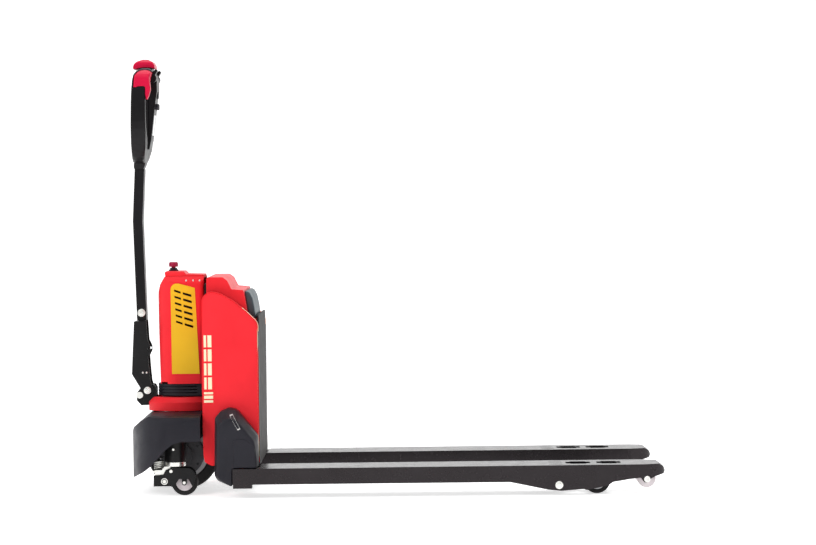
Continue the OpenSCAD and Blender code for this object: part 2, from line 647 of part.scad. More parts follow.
// ---------- lift linkage ----------
module lift_rocker() color(black) {
    bar(rocker_x, rocker_z, shaft_r, [-fork_y - 22, fork_y + 22]);
    for (s = [-1, 1]) at_fork(s) {
        both_sides() slab([7, 13], [[rocker_x - 15, rocker_z + 8], [rocker_x - lug_back - 10, rod_z + 2],
            [rocker_x - lug_back - 8, rod_z - 9], [rocker_x - lug_back + 8, rod_z - 9],
            [rocker_x + 14, rocker_z + 2], [rocker_x + 8, rocker_z + 12]]);
        bar(rocker_x - lug_back, rod_z, link_pin_r, [-13, 13]);
    }
    both_sides() {
        slab([108, 118], [[rocker_x + 4, rocker_z - 12.5], [rocker_x + 10, rocker_z + 10],
            [rocker_x - 12, rocker_z + 15], [rocker_x - rocker_arm * cos(link_a / 2) + 5, rocker_z + lift_h / 2 + 12],
            [rocker_x - rocker_arm * cos(link_a / 2) - 10, rocker_z + lift_h / 2 + 6],
            [rocker_x - rocker_arm * cos(link_a / 2) - 8, rocker_z + lift_h / 2 - 9],
            [rocker_x - 12, rocker_z - 8]]);
        bar(rocker_x - rocker_arm * cos(link_a / 2), rocker_z + lift_h / 2, 8, [92, 118]);
    }
}

// Upright slot that lets a link pin rise or dip as it swings
module pin_slot(x, z0, z1) {
    bar(x, z0, slot_r, [-10, 10]);
    bar(x, z1, slot_r, [-10, 10]);
    box([x - slot_r, x + slot_r], [-10, 10], [z0, z1]);
}

module pushrod(side) color(black) at_fork(side) difference() {
    union() {
        slab([-5, 5], [[rocker_x - lug_back - 14, rod_z - 20], [rocker_x - lug_back - 14, rod_z + 12],
            [rocker_x - lug_back + 14, rod_z + 12], [rocker_x - lug_back + 26, rod_z + 6],
            [yoke_x - lug_back - 28, rod_z + 6], [yoke_x - lug_back - 14, rod_z + 19],
            [yoke_x - lug_back + 13, rod_z + 19], [yoke_x - lug_back + 13, rod_z - 11],
            [yoke_x - lug_back - 14, rod_z - 11], [yoke_x - lug_back - 28, rod_z - 6],
            [rocker_x - lug_back + 26, rod_z - 6], [rocker_x - lug_back + 14, rod_z - 20]]);
    }
    pin_slot(rocker_x - lug_back, rod_z - 8, rod_z + 0.5);
    pin_slot(yoke_x - lug_back, rod_z - 0.5, rod_z + 8);
}

module yoke(side) color(black) at_fork(side) difference() {
    union() {
        bar(yoke_x, yoke_z, 15, [-45, 45]);
        both_sides() {
            slab([38, 45], [[yoke_x - 13, yoke_z - 8], [yoke_x - 8, yoke_z + 14], [load_x - 4, load_r + 14],
                [load_x + 12, load_r + 8], [load_x + 14, load_r - 6], [load_x + 4, load_r - 14],
                [yoke_x, yoke_z - 15]]);
            slab([7, 13], [[yoke_x - 14, yoke_z - 4], [yoke_x - lug_back - 8, rod_z - 2],
                [yoke_x - lug_back - 6, rod_z + 8], [yoke_x - lug_back + 6, rod_z + 8],
                [yoke_x + 13, yoke_z + 6]]);
        }
        bar(yoke_x - lug_back, rod_z, link_pin_r, [-13, 13]);
        bar(load_x, load_r, 8, [-47, 47]);
    }
    bar(yoke_x, yoke_z, 10.1, [-100, 100]);
}

module load_wheel(side) color(charcoal) at_fork(side) translate([load_x, 0, load_r]) rotate([90, 0, 0])
    rotate_extrude() polygon([[8.2, -36], [20, -36], [20, -33], [load_r - 3, -34], [load_r, -31], [load_r, 31],
        [load_r - 3, 34], [20, 33], [20, 36], [8.2, 36]]);

module entry_roller(side) color(nylon) at_fork(side) translate([entry_x, 0, entry_z])
    rotate([90, 0, 0]) rotate_extrude() polygon([[6.1, -62], [14, -62], [14, -58], [entry_roller_d / 2, -56],
        [entry_roller_d / 2, -14], [14, -12], [14, 12], [entry_roller_d / 2, 14],
        [entry_roller_d / 2, 56], [14, 58], [14, 62], [6.1, 62]]);

chassis_bridge();
slewing_ring_outer();
bumper_skirt();
front_cover();
cover_lid();
louvre_panels();
collar_band();
pump_motor();
oil_tank();
lift_barrel();
controller();
estop_base();
caster_posts();
slewing_ring_inner();
steer_head();
turret_cover();
drive_fork();
drive_gearbox();
drive_motor();
stop_roller();
drive_hub();
drive_tyre();
tiller_base();
tiller_tube();
tiller_bolts();
head_loop();
head_pod();
head_bow();
display();
throttle();
belly_button();
horn_button();
raise_button();
lower_button();
estop_button();
frame_weldment();
side_panels();
hump_cover();
battery_pack();
battery_cap();
heel_covers();
fork(-1);  // fork_left
fork(1);  // fork_right
lift_rod();
fork_bolts();
lift_rocker();
pushrod(-1);  // pushrod_left
pushrod(1);  // pushrod_right
yoke(-1);  // yoke_left
yoke(1);  // yoke_right
load_wheel(-1);  // load_wheel_left
load_wheel(1);  // load_wheel_right
entry_roller(-1);  // entry_roller_left
entry_roller(1);  // entry_roller_right
caster_yoke(-1);  // caster_yoke_left
caster_yoke(1);  // caster_yoke_right
caster_arm(-1);  // caster_arm_left
caster_arm(1);  // caster_arm_right
caster_wheel(-1);  // caster_wheel_left
caster_wheel(1);  // caster_wheel_right
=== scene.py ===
"""Looks for the electric pallet truck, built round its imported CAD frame.

Metres, +X to the fork tips, +Z up, the side that faces the camera is -Y.
"""

import json
import math

import bmesh
import bpy
from mathutils import Matrix, Vector
from mathutils.bvhtree import BVHTree


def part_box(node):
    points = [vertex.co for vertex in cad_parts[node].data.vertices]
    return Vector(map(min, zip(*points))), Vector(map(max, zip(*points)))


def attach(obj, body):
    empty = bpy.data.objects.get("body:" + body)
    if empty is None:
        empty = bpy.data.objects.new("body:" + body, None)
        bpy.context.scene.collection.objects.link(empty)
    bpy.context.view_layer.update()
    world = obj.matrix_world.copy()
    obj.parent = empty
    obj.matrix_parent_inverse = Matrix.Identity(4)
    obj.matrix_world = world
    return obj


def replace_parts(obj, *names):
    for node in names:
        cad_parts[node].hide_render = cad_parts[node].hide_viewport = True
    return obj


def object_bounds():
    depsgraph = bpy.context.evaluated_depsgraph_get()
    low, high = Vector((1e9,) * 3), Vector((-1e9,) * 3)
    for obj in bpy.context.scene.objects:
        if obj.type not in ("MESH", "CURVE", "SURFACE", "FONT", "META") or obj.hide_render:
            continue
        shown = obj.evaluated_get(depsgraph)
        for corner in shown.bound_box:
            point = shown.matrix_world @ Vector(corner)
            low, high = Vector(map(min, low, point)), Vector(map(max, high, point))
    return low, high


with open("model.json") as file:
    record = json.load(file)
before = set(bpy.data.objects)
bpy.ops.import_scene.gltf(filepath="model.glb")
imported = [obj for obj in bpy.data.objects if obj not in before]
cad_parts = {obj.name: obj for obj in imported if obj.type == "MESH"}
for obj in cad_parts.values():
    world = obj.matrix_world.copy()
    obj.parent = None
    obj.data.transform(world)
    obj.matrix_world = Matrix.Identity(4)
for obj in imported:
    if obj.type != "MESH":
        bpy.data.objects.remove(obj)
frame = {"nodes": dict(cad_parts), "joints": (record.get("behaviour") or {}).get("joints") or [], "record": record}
cad_lo, cad_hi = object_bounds()

MM = 0.001
joints = {j["name"]: j for j in frame["joints"]}
body_of_node = {n: b for b, ns in frame["record"]["behaviour"]["bodies"].items() for n in ns}
slot_of_node = {s["node"]: s["material_slot"] for s in frame["record"]["subparts"]}

AX = joints["steer"]["pos_m"][0] / MM                 # steering axis, in millimetres like the next three
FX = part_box("frame_weldment")[1].x / MM               # load face at the forks' heel
FORK_Y = joints["yoke_right"]["pos_m"][1] / MM        # centre of a fork
CASTER_Y = joints["caster_roll_right"]["pos_m"][1] / MM
SIDES = (("left", -1), ("right", 1))


def at(dx, y, z):
    """A place in metres, from millimetres ahead of the steering axis."""
    return Vector(((AX + dx) * MM, y * MM, z * MM))


def on_joint(name, y=None):
    """A joint's place in metres, or the place on a joint's cross axis at another y in millimetres."""
    place = Vector(joints[name]["pos_m"])
    if y is not None:
        place.y = y * MM
    return place


# ---------- node helpers ----------

def new_material(name):
    mat = bpy.data.materials.new(name)
    mat.use_nodes = True
    nodes, links = mat.node_tree.nodes, mat.node_tree.links
    shader = nodes["Principled BSDF"]
    return mat, nodes, links, shader


def mapped(nodes, links, scale=(1, 1, 1)):
    """Object coordinates, in metres, stretched by scale."""
    coord = nodes.new("ShaderNodeTexCoord")
    mapping = nodes.new("ShaderNodeMapping")
    mapping.inputs["Scale"].default_value = scale
    links.new(coord.outputs["Object"], mapping.inputs["Vector"])
    return mapping.outputs["Vector"]


def noise(nodes, links, vector, scale, detail=3.0, rough=0.5):
    tex = nodes.new("ShaderNodeTexNoise")
    tex.inputs["Scale"].default_value = scale
    tex.inputs["Detail"].default_value = detail
    tex.inputs["Roughness"].default_value = rough
    links.new(vector, tex.inputs["Vector"])
    return tex.outputs["Fac"]


def ramp(nodes, links, fac, stops):
    """A colour ramp; each stop is (place, grey level or colour)."""
    node = nodes.new("ShaderNodeValToRGB")
    elements = node.color_ramp.elements
    while len(elements) < len(stops):
        elements.new(0.5)
    for element, (place, value) in zip(elements, stops):
        element.position = place
        element.color = (*value, 1) if hasattr(value, "__len__") else (value, value, value, 1)
    links.new(fac, node.inputs["Fac"])
    return node.outputs["Color"]


def mix(nodes, links, fac, a, b, blend="MIX"):
    node = nodes.new("ShaderNodeMix")
    node.data_type = "RGBA"
    node.blend_type = blend
    for socket, value in ((node.inputs[0], fac), (node.inputs[6], a), (node.inputs[7], b)):
        if isinstance(value, bpy.types.NodeSocket):
            links.new(value, socket)
        elif hasattr(value, "__len__"):
            socket.default_value = (*value, 1)
        else:
            socket.default_value = value
    return node.outputs[2]


def bump(nodes, links, height, strength, distance, normal=None):
    node = nodes.new("ShaderNodeBump")
    node.inputs["Strength"].default_value = strength
    node.inputs["Distance"].default_value = distance
    links.new(height, node.inputs["Height"])
    if normal is not None:
        links.new(normal, node.inputs["Normal"])
    return node.outputs["Normal"]


def finish_material(name, colour, rough, tone, grain, grain_depth, metallic=0.0, coat=0.0, scuff=None,
                    scuff_amount=0.0, stretch=(1, 1, 1), specular=0.5, tone_scale=9, sheen_tint=(1, 1, 1)):
    """A hard finish: uneven tone, a fine grain in the bump, blotchy gloss, and optional scuffs.

    rough is (smoothest, roughest); grain_depth is in metres; scuff is the colour that shows where it is rubbed.
    """
    mat, nodes, links, shader = new_material(name)
    space = mapped(nodes, links, stretch)
    broad = noise(nodes, links, space, tone_scale, 4.0)
    fine = noise(nodes, links, space, grain, 2.0)
    dark = [c * (1 - tone) for c in colour]
    light = [min(1, c * (1 + tone) + 0.002) for c in colour]
    tint = ramp(nodes, links, broad, [(0.3, dark), (0.7, light)])
    gloss = ramp(nodes, links, noise(nodes, links, space, 28, 5.0, 0.6), [(0.3, rough[0]), (0.72, rough[1])])
    if scuff is not None:
        streaks = noise(nodes, links, mapped(nodes, links, (6, 40, 40)), 5, 6.0, 0.7)
        specks = noise(nodes, links, space, 120, 4.0, 0.7)
        mask = ramp(nodes, links, mix(nodes, links, 0.5, streaks, specks), [(0.56, 0.0), (0.66, scuff_amount)])
        tint = mix(nodes, links, mask, tint, scuff)
        gloss = mix(nodes, links, mask, gloss, (rough[1] + 0.2,) * 3)
    links.new(tint, shader.inputs["Base Color"])
    links.new(gloss, shader.inputs["Roughness"])
    links.new(bump(nodes, links, fine, 0.6, grain_depth), shader.inputs["Normal"])
    shader.inputs["Metallic"].default_value = metallic
    shader.inputs["Coat Weight"].default_value = coat
    shader.inputs["Coat Roughness"].default_value = 0.12
    shader.inputs["Specular IOR Level"].default_value = specular
    shader.inputs["Specular Tint"].default_value = (*sheen_tint, 1)
    return mat


RED_SHEEN = (1.0, 0.35, 0.35)

MATERIALS = {
    "red_plastic": finish_material("moulded_red", (0.80, 0.024, 0.034), (0.36, 0.48), tone=0.06, grain=700,
                                   grain_depth=2e-5, specular=0.2, sheen_tint=RED_SHEEN),
    "yellow_plastic": finish_material("moulded_yellow", (0.82, 0.48, 0.008), (0.38, 0.5), tone=0.05, grain=900,
                                      grain_depth=3e-5, specular=0.25),
    "black_plastic": finish_material("grained_black_plastic", (0.010, 0.0095, 0.015), (0.40, 0.56), tone=0.12,
                                     grain=1400, grain_depth=8e-5, scuff=(0.045, 0.045, 0.05), scuff_amount=0.18,
                                     specular=0.24),
    "black_paint": finish_material("black_powder_coat", (0.006, 0.006, 0.0065), (0.28, 0.42), tone=0.15,
                                   grain=1100, grain_depth=5e-5, scuff=(0.04, 0.04, 0.04), scuff_amount=0.25,
                                   specular=0.2),
    "zinc": finish_material("zinc_plate", (0.80, 0.80, 0.76), (0.2, 0.38), tone=0.08, grain=1600, grain_depth=3e-5,
                            metallic=0.9, scuff=(0.55, 0.52, 0.44), scuff_amount=0.35, tone_scale=40),
    "hard_chrome": finish_material("hard_chrome", (0.85, 0.85, 0.86), (0.05, 0.12), tone=0.02, grain=500,
                                   grain_depth=5e-6, metallic=1.0, stretch=(1, 1, 0.05)),
    "cast_housing": finish_material("cast_housing", (0.07, 0.07, 0.075), (0.45, 0.62), tone=0.1, grain=380,
                                    grain_depth=2e-4, metallic=0.6, scuff=(0.03, 0.03, 0.03), scuff_amount=0.5),
    "cast_iron_hub": finish_material("machined_iron", (0.36, 0.36, 0.37), (0.32, 0.5), tone=0.12, grain=500,
                                     grain_depth=1e-4, metallic=1.0, scuff=(0.16, 0.12, 0.09), scuff_amount=0.4),
    "tyre_black": finish_material("wheel_polyurethane", (0.014, 0.013, 0.013), (0.5, 0.68), tone=0.2, grain=420,
                                  grain_depth=2e-4, scuff=(0.08, 0.075, 0.07), scuff_amount=0.35, specular=0.2),
    "nylon": finish_material("roller_nylon", (0.66, 0.60, 0.62), (0.35, 0.5), tone=0.06, grain=600,
                             grain_depth=6e-5, scuff=(0.3, 0.27, 0.26), scuff_amount=0.35, specular=0.3),
    "grey_plastic": finish_material("grey_battery_plastic", (0.072, 0.098, 0.112), (0.4, 0.55), tone=0.08,
                                    grain=1200, grain_depth=8e-5, scuff=(0.2, 0.22, 0.23), scuff_amount=0.2,
                                    specular=0.25),
    "stop_red": finish_material("stop_button_red", (0.33, 0.004, 0.045), (0.25, 0.35), tone=0.05, grain=500,
                                grain_depth=2e-5, specular=0.35),
    "display_window": finish_material("display_window", (0.012, 0.02, 0.022), (0.06, 0.12), tone=0.1, grain=300,
                                      grain_depth=5e-6, coat=1.0),
}
FORK_PAINT = finish_material("fork_satin_paint", (0.008, 0.0070, 0.0078), (0.22, 0.3), tone=0.15, grain=900,
                             grain_depth=1e-5, scuff=(0.05, 0.045, 0.045), scuff_amount=0.15, specular=0.38,
                             sheen_tint=(0.86, 0.76, 0.79))
FRAME_PAINT = finish_material("frame_matte_paint", (0.010, 0.009, 0.009), (0.55, 0.7), tone=0.15, grain=900,
                              grain_depth=4e-5, scuff=(0.05, 0.045, 0.045), scuff_amount=0.3, specular=0.24,
                              sheen_tint=(0.86, 0.76, 0.74))
HEAD_BLACK = finish_material("handle_black", (0.0045, 0.004, 0.005), (0.3, 0.42), tone=0.12, grain=1200,
                             grain_depth=4e-5, scuff=(0.03, 0.03, 0.03), scuff_amount=0.15, specular=0.18)
HEAD_RED = finish_material("handle_red", (0.58, 0.006, 0.045), (0.3, 0.42), tone=0.06, grain=700,
                           grain_depth=2e-5, specular=0.25, sheen_tint=RED_SHEEN)
# cream film: the blocks in place of lettering, and also the painted edge highlight strip on the side panels
CREAM_PRINT_AND_HIGHLIGHT = finish_material("cream_print_and_painted_highlight", (0.86, 0.76, 0.52), (0.35, 0.45), tone=0.04, grain=800,
                             grain_depth=1e-5, specular=0.3)
LABEL_FILM = finish_material("label_film", (0.62, 0.62, 0.60), (0.3, 0.4), tone=0.04, grain=800,
                             grain_depth=1e-5, specular=0.3)


# ---------- mesh helpers ----------

def link(obj):
    bpy.context.scene.collection.objects.link(obj)
    return obj


def mesh_object(name, verts, faces):
    mesh = bpy.data.meshes.new(name)
    mesh.from_pydata([tuple(v) for v in verts], [], faces)
    bm = bmesh.new()
    bm.from_mesh(mesh)
    bmesh.ops.recalc_face_normals(bm, faces=bm.faces)
    bm.to_mesh(mesh)
    bm.free()
    return link(bpy.data.objects.new(name, mesh))


def dress(obj, body, slot, mat=None):
    """Gives a piece its finish, taken from its record slot unless a material is given, and its body."""
    obj.data.materials.clear()
    obj.data.materials.append(mat or MATERIALS[slot])
    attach(obj, body)
    return obj


def round_edges(obj, radius):
    """Rounds the sharp edges and shades the rest smooth, with the bevel applied."""
    bevel = obj.modifiers.new("edges", "BEVEL")
    bevel.width = radius
    bevel.segments = 2
    bevel.limit_method = "ANGLE"
    bevel.angle_limit = math.radians(34)
    bake(obj)
    smooth(obj)


def smooth(obj, angle=38):
    for polygon in obj.data.polygons:
        polygon.use_smooth = True
    obj.data.set_sharp_from_angle(angle=math.radians(angle))
    obj.modifiers.new("normals", "WEIGHTED_NORMAL").keep_sharp = True


def bake(obj):
    """Replaces the mesh with its modified self."""
    bpy.context.view_layer.update()
    graph = bpy.context.evaluated_depsgraph_get()
    mesh = bpy.data.meshes.new_from_object(obj.evaluated_get(graph))
    obj.modifiers.clear()
    obj.data = mesh


def rounded_node(node, radius):
    """A copy of a CAD node with its edges rounded, which stands for the node."""
    obj = link(bpy.data.objects.new(node + "_formed", frame["nodes"][node].data.copy()))
    bm = bmesh.new()
    bm.from_mesh(obj.data)
    bmesh.ops.remove_doubles(bm, verts=bm.verts, dist=0.00002)
    bmesh.ops.dissolve_limit(bm, angle_limit=math.radians(0.6), verts=bm.verts, edges=bm.edges)
    bm.to_mesh(obj.data)
    bm.free()
    round_edges(obj, radius)
    dress(obj, body_of_node[node], slot_of_node[node])
    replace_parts(obj, node)
    return obj


# ---------- turned, pushed and wound shapes ----------

def lathe(name, rings, place, sign=1, segments=48):
    """Rings (radius, height) about a cross axis through place; a third value of 6 makes a ring a hexagon."""
    verts, faces = [], []
    for ring in rings:
        radius, height = ring[0] * MM, ring[1] * MM * sign
        for k in range(segments):
            a = 2 * math.pi * k / segments
            r = radius
            if len(ring) == 3:
                r *= math.cos(math.pi / 6) / math.cos(a % (math.pi / 3) - math.pi / 6)
            verts.append(place + Vector((r * math.cos(a), height, r * math.sin(a))))
    for i in range(len(rings) - 1):
        for k in range(segments):
            n = (k + 1) % segments
            faces.append((i * segments + k, i * segments + n, (i + 1) * segments + n, (i + 1) * segments + k))
    obj = mesh_object(name, verts, faces)
    bm = bmesh.new()
    bm.from_mesh(obj.data)
    bmesh.ops.remove_doubles(bm, verts=bm.verts, dist=0.00001)
    bmesh.ops.recalc_face_normals(bm, faces=bm.faces)
    bm.to_mesh(obj.data)
    bm.free()
    smooth(obj)
    return obj


def prism(name, outline, lo, hi, edge):
    """An outline in x and z, pushed across from lo to hi, with rounded edges; all in mm."""
    n = len(outline)
    verts = [(x * MM, y * MM, z * MM) for y in (lo, hi) for x, z in outline]
    faces = [tuple(range(n)), tuple(range(n, 2 * n))] + [(i, (i + 1) % n, n + (i + 1) % n, n + i) for i in range(n)]
    obj = mesh_object(name, verts, faces)
    round_edges(obj, edge * MM)
    return obj


def coil(name, centre, radius, wire, turns, z0, z1):
    """A wire wound round an upright axis; lengths in mm, centre in metres."""
    steps, sides = 30, 12                             # points in a turn, and round the wire
    verts, faces = [], []
    count = int(turns * steps)
    for i in range(count + 1):
        t = i / count
        a = 2 * math.pi * turns * t
        out = Vector((math.cos(a), math.sin(a), 0))
        middle = Vector((centre[0], centre[1], 0)) + out * radius * MM + Vector((0, 0, (z0 + (z1 - z0) * t) * MM))
        for k in range(sides):
            b = 2 * math.pi * k / sides
            verts.append(middle + (out * math.cos(b) + Vector((0, 0, math.sin(b)))) * wire * MM)
    for i in range(count):
        for k in range(sides):
            n = (k + 1) % sides
            faces.append((i * sides + k, i * sides + n, (i + 1) * sides + n, (i + 1) * sides + k))
    faces += [tuple(range(sides)), tuple(range(count * sides, (count + 1) * sides))]
    obj = mesh_object(name, verts, faces)
    smooth(obj, 60)
    return obj


def joined(name, *parts):
    """One object from several meshes."""
    bm = bmesh.new()
    for part in parts:
        bm.from_mesh(part.data)
        bpy.data.objects.remove(part)
    mesh = bpy.data.meshes.new(name)
    bm.to_mesh(mesh)
    bm.free()
    obj = link(bpy.data.objects.new(name, mesh))
    smooth(obj)
    return obj


def hex_bolt(name, place, sign, head_r, head_h, washer_r, washer_h):
    return lathe(name, [(0, 0), (washer_r, 0), (washer_r, washer_h - 0.4), (washer_r - 0.4, washer_h),
                        (head_r, washer_h, 6), (head_r, washer_h + head_h - 0.8, 6),
                        (head_r * 0.84, washer_h + head_h), (head_r * 0.4, washer_h + head_h),
                        (head_r * 0.36, washer_h + head_h - 0.3), (0, washer_h + head_h - 0.3)], place, sign)


def socket_screw(name, place, sign, head_r, head_h, socket_r):
    return lathe(name, [(0, 0), (head_r, 0), (head_r, head_h - 0.6), (head_r - 0.6, head_h),
                        (socket_r, head_h, 6), (socket_r, head_h * 0.45, 6), (0, head_h * 0.45)], place, sign)


def smoothstep(lo, hi, value):
    t = min(1.0, max(0.0, (value - lo) / (hi - lo)))
    return t * t * (3 - 2 * t)


def sculpt(obj, step, move):
    """Cuts a piece into a grid of step in x and z, and pushes each point to move(point)."""
    bm = bmesh.new()
    bm.from_mesh(obj.data)
    for axis in (0, 2):
        values = [v.co[axis] for v in bm.verts]
        normal = Vector([1.0 if i == axis else 0.0 for i in range(3)])
        place = min(values) + step
        while place < max(values):
            bmesh.ops.bisect_plane(bm, geom=bm.verts[:] + bm.edges[:] + bm.faces[:], dist=1e-6,
                                   plane_co=normal * place, plane_no=normal)
            place += step
    for vert in bm.verts:
        vert.co = move(vert.co.copy())
    bm.to_mesh(obj.data)
    bm.free()


def soft_node(node, voxel, rounds, mat=None):
    """A copy of a solid CAD node with its edges worn round, which stands for the node."""
    obj = link(bpy.data.objects.new(node + "_formed", frame["nodes"][node].data.copy()))
    remesh = obj.modifiers.new("skin", "REMESH")
    remesh.mode = "VOXEL"
    remesh.voxel_size = voxel * MM
    relax = obj.modifiers.new("relax", "SMOOTH")
    relax.iterations = rounds
    bake(obj)
    smooth(obj, 80)
    dress(obj, body_of_node[node], slot_of_node[node], mat)
    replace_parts(obj, node)
    return obj


def film(name, body, slot, target, corners, rows, columns, side, mat, lift):
    """A thin film that stands lift mm off a piece's outer side; corners are (x, z) in mm, in order round it."""
    sunk = 1.0                                        # how far its back goes into the piece
    tree = BVHTree.FromObject(target, bpy.context.evaluated_depsgraph_get())
    a, b, c, d = [Vector(p) for p in corners]
    front = []
    for i in range(rows + 1):
        for j in range(columns + 1):
            u, v = j / columns, i / rows
            p = (a * (1 - u) + b * u) * (1 - v) + (d * (1 - u) + c * u) * v
            hit = tree.ray_cast(Vector((p.x * MM, side * 0.45, p.y * MM)), Vector((0, -side, 0)))[0]
            front.append(hit + Vector((0, side * lift * MM, 0)))
    rear = [p - Vector((0, side * (lift + sunk) * MM, 0)) for p in front]
    wide, count = columns + 1, len(front)
    faces = []
    for i in range(rows):
        for j in range(columns):
            q = (i * wide + j, i * wide + j + 1, (i + 1) * wide + j + 1, (i + 1) * wide + j)
            faces += [q, tuple(count + k for k in q)]
    rim = ([j for j in range(columns)] + [i * wide + columns for i in range(rows)]
           + [rows * wide + columns - j for j in range(columns)] + [(rows - i) * wide for i in range(rows)])
    faces += [(rim[k], rim[(k + 1) % len(rim)], count + rim[(k + 1) % len(rim)], count + rim[k])
              for k in range(len(rim))]
    obj = mesh_object(name, front + rear, faces)
    smooth(obj)
    return dress(obj, body, slot, mat)


# ---------- CAD nodes with rounded edges ----------

EDGE_RADII = {                                        # in millimetres
    "chassis_bridge": 1.0, "slewing_ring_outer": 0.8, "bumper_skirt": 2.5, "front_cover": 2.0, "cover_lid": 2.0,
    "louvre_panels": 0.6, "collar_band": 1.2, "pump_motor": 2, "oil_tank": 4, "lift_barrel": 1.5, "controller": 1,
    "estop_base": 0.6, "caster_posts": 1.5, "slewing_ring_inner": 0.5, "steer_head": 1.2, "turret_cover": 1.2,
    "drive_fork": 1.5, "drive_gearbox": 3, "drive_motor": 0.7, "stop_roller": 0.8, "drive_hub": 1.5, "drive_tyre": 2,
    "tiller_base": 1.4, "tiller_tube": 4, "head_pod": 4, "display": 0.5, "throttle": 2, "belly_button": 2.5,
    "horn_button": 1, "raise_button": 1, "lower_button": 1, "estop_button": 1.5, "frame_weldment": 0.8,
    "side_panels": 4, "hump_cover": 5, "battery_pack": 3, "battery_cap": 5, "fork_left": 1.2, "fork_right": 1.2,
    "lift_rod": 0.8, "lift_rocker": 1, "pushrod_left": 0.8, "pushrod_right": 0.8, "yoke_left": 1, "yoke_right": 1,
    "entry_roller_left": 1.5, "entry_roller_right": 1.5, "caster_yoke_left": 0.5, "caster_yoke_right": 0.5,
    "caster_arm_left": 0.8, "caster_arm_right": 0.8,
}
made = {node: rounded_node(node, r * MM) for node, r in EDGE_RADII.items()}
made["heel_covers"] = soft_node("heel_covers", 4.0, 7)
made["head_loop"] = soft_node("head_loop", 2.5, 6, HEAD_BLACK)
made["head_bow"] = soft_node("head_bow", 2.5, 5, HEAD_RED)
made["belly_button"].data.materials[0] = HEAD_RED
GUIDE_END, GUIDE_TRIM = 1210, 3                       # the cap's hidden guide stops short of the softened slot
for vert in made["belly_button"].data.vertices:
    if vert.co.z < GUIDE_END * MM:
        vert.co.z += GUIDE_TRIM * MM
for node in ("head_pod", "throttle", "tiller_tube"):
    made[node].data.materials[0] = HEAD_BLACK
for node in ("frame_weldment", "chassis_bridge"):
    made[node].data.materials[0] = FRAME_PAINT
for side, _ in SIDES:
    made["fork_" + side].data.materials[0] = FORK_PAINT


# ---------- lift frame covers ----------

PANEL_IN, PANEL_OUT = 204, 240                        # inner and outer side of a side panel
PANEL_FRONT = -1                                      # its front edge, ahead of the load face
CORNER_Z, CORNER_R = 480, 32.2                        # centre and radius of the bend, at the upper corner, of the cream strip that paints the panel edge's highlight


def panel_form(p):
    """Crowns the side panels towards the top and raises the rear part behind a soft upright crease."""
    x, z = p.x / MM - FX, p.z / MM
    outward = (abs(p.y) / MM - PANEL_IN) / (PANEL_OUT - PANEL_IN)
    raised = 2.4 * smoothstep(-114, -98, x) * smoothstep(100, 190, z) * (1 - smoothstep(400, 480, z))
    crown = -6.0 * smoothstep(400, 580, z) - 2.5 * (1 - smoothstep(85, 150, z))
    p.y += math.copysign(outward * (raised + crown) * MM, p.y)
    return p


sculpt(made["side_panels"], 0.012, panel_form)


def panel_dressing(side, s):
    """The gasket on a side panel's front edge, a cream strip beside it that paints the highlight of the rounded
    edge, and plain blocks in place of lettering.
    """
    front = FX + PANEL_FRONT
    strip = [(front - 0.4, 90), (front + 1.2, 90), (front + 1.2, 468), (front - 0.4, 468)]
    gasket = prism("panel_gasket_" + side, strip, *sorted((s * (PANEL_IN + 2), s * (PANEL_OUT - 2))), 0.4)
    dress(gasket, "lift_frame", "black_plastic")
    bend = [math.radians(a) for a in range(0, 60, 8)]
    path = [(front + 0.2, z) for z in range(96, CORNER_Z, 24)]
    path += [(front - 32 + CORNER_R * math.cos(a), CORNER_Z + CORNER_R * math.sin(a)) for a in bend]
    path += [(FX - 37, 528.4), (FX - 46, 535.5)]
    verts, faces = [], []
    for x, z in path:
        for dx, y in ((-2.6, 238.2), (0.9, 236.2), (0.9, 231.0), (-2.6, 231.0)):
            verts.append(((x + dx) * MM, s * y * MM, z * MM))
    for i in range(len(path) - 1):
        for k in range(4):
            faces.append((4 * i + k, 4 * i + (k + 1) % 4, 4 * i + 4 + (k + 1) % 4, 4 * i + 4 + k))
    faces += [(0, 1, 2, 3), tuple(len(verts) - 4 + k for k in range(4))]
    # a cream strip along the panel's rounded edge, painting the highlight that edge catches
    highlight_strip = mesh_object("panel_painted_highlight_" + side, verts, faces)
    smooth(highlight_strip, 50)
    dress(highlight_strip, "lift_frame", "nylon", CREAM_PRINT_AND_HIGHLIGHT)
    panel = made["side_panels"]
    left, right = FX - 157, FX - 131
    blocks = [(left, right, 266, 273), (left, right, 277, 286), (left, right, 290, 296)]
    blocks += [(left + 1, left + 8, z, z + 34) for z in (304, 344, 384, 424)]
    blocks += [(left + 12, right - 3, z, z + 34) for z in (304, 344, 384, 424)]
    for i, (x0, x1, z0, z1) in enumerate(blocks):
        corners = [(x0, z0), (x1, z0), (x1, z1), (x0, z1)]
        film(f"stripe_{side}_{i}", "lift_frame", "nylon", panel, corners, 4, 2, s, CREAM_PRINT_AND_HIGHLIGHT, 0.3)


def heel_dressing(side, s):
    """The wear plate and the blank label on a heel cover."""
    cover = made["heel_covers"]
    plate = prism("heel_plate_" + side, [(FX + x, z) for x, z in (
        (-70, 92), (-70, 160), (-63, 168), (-48, 170), (-32, 166), (-15, 150), (-10, 140), (-8, 92))],
        *sorted((s * 333, s * 342.5)), 2.0)
    dress(plate, "lift_frame", "black_plastic")
    edge = [Vector((FX - 80, 236)), Vector((FX - 72, 239)), Vector((FX - 49, 197)), Vector((FX - 57, 194))]
    film("heel_label_" + side, "lift_frame", "nylon", cover, edge, 8, 3, s, LABEL_FILM, 0.4)
    middle = sum(edge, Vector((0, 0))) / 4
    field = [middle + (p - middle) * 0.9 for p in edge]
    field = [p + (middle - p).normalized() * 0.8 for p in field]
    film("heel_label_field_" + side, "lift_frame", "black_plastic", cover, field, 8, 3, s, None, 0.7)


for side, s in SIDES:
    panel_dressing(side, s)
    heel_dressing(side, s)


# ---------- bolts ----------

